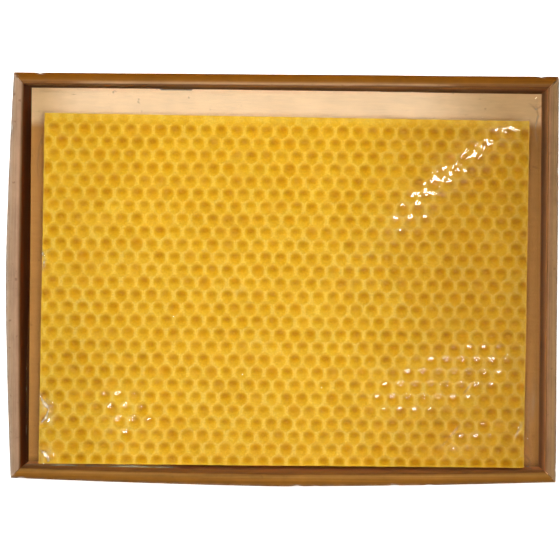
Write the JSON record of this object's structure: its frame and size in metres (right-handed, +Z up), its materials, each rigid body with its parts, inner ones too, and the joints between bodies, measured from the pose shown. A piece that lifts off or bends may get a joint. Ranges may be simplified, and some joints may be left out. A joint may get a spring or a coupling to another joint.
{
  "type": "tray of beeswax foundation sheets",
  "caption": "Open cardboard tray with rolled double walls and mitred rims, holding a stack of honeycomb-embossed beeswax foundation sheets in a clear film bag that lifts out.",
  "frame": {"origin": "middle of the tray's box, on the surface it stands on", "axes": "+X along the tray's long side to the right, +Y from front to back, +Z up out of the open top"},
  "size_m": [0.194, 0.1438, 0.036],
  "materials": {
    "base_kraft": "matt pale kraft",
    "long_wall_kraft": "matt golden-brown kraft",
    "short_wall_kraft": "matt pinkish-brown kraft",
    "beeswax": "waxy satin, embossed with hexagonal cells",
    "clear_film": "clear glossy polythene film, creased"
  },
  "bodies": {
    "tray": {"base_panel": "base_kraft", "back_outer_wall": "long_wall_kraft", "back_inner_wall": "long_wall_kraft", "back_rim": "long_wall_kraft", "back_corner_flap_a": "short_wall_kraft", "back_corner_flap_b": "short_wall_kraft", "front_outer_wall": "long_wall_kraft", "front_inner_wall": "long_wall_kraft", "front_rim": "long_wall_kraft", "front_corner_flap_a": "short_wall_kraft", "front_corner_flap_b": "short_wall_kraft", "left_outer_wall": "short_wall_kraft", "left_inner_wall": "short_wall_kraft", "left_rim": "short_wall_kraft", "right_outer_wall": "short_wall_kraft", "right_inner_wall": "short_wall_kraft", "right_rim": "short_wall_kraft"},
    "pack": {"wax_sheet_01": "beeswax", "wax_sheet_02": "beeswax", "wax_sheet_03": "beeswax", "wax_sheet_04": "beeswax", "wax_sheet_05": "beeswax", "wax_sheet_06": "beeswax", "wax_sheet_07": "beeswax", "wax_sheet_08": "beeswax", "wax_sheet_09": "beeswax", "wax_sheet_10": "beeswax", "wax_sheet_11": "beeswax", "wax_sheet_12": "beeswax", "bag_lower_film": "clear_film", "bag_upper_film": "clear_film"}
  },
  "joints": [
    {"name": "pack_lift", "type": "slide", "parent": "tray", "child": "pack", "axis": [0, 0, 1], "range_m": [0, 0.045]}
  ]
}
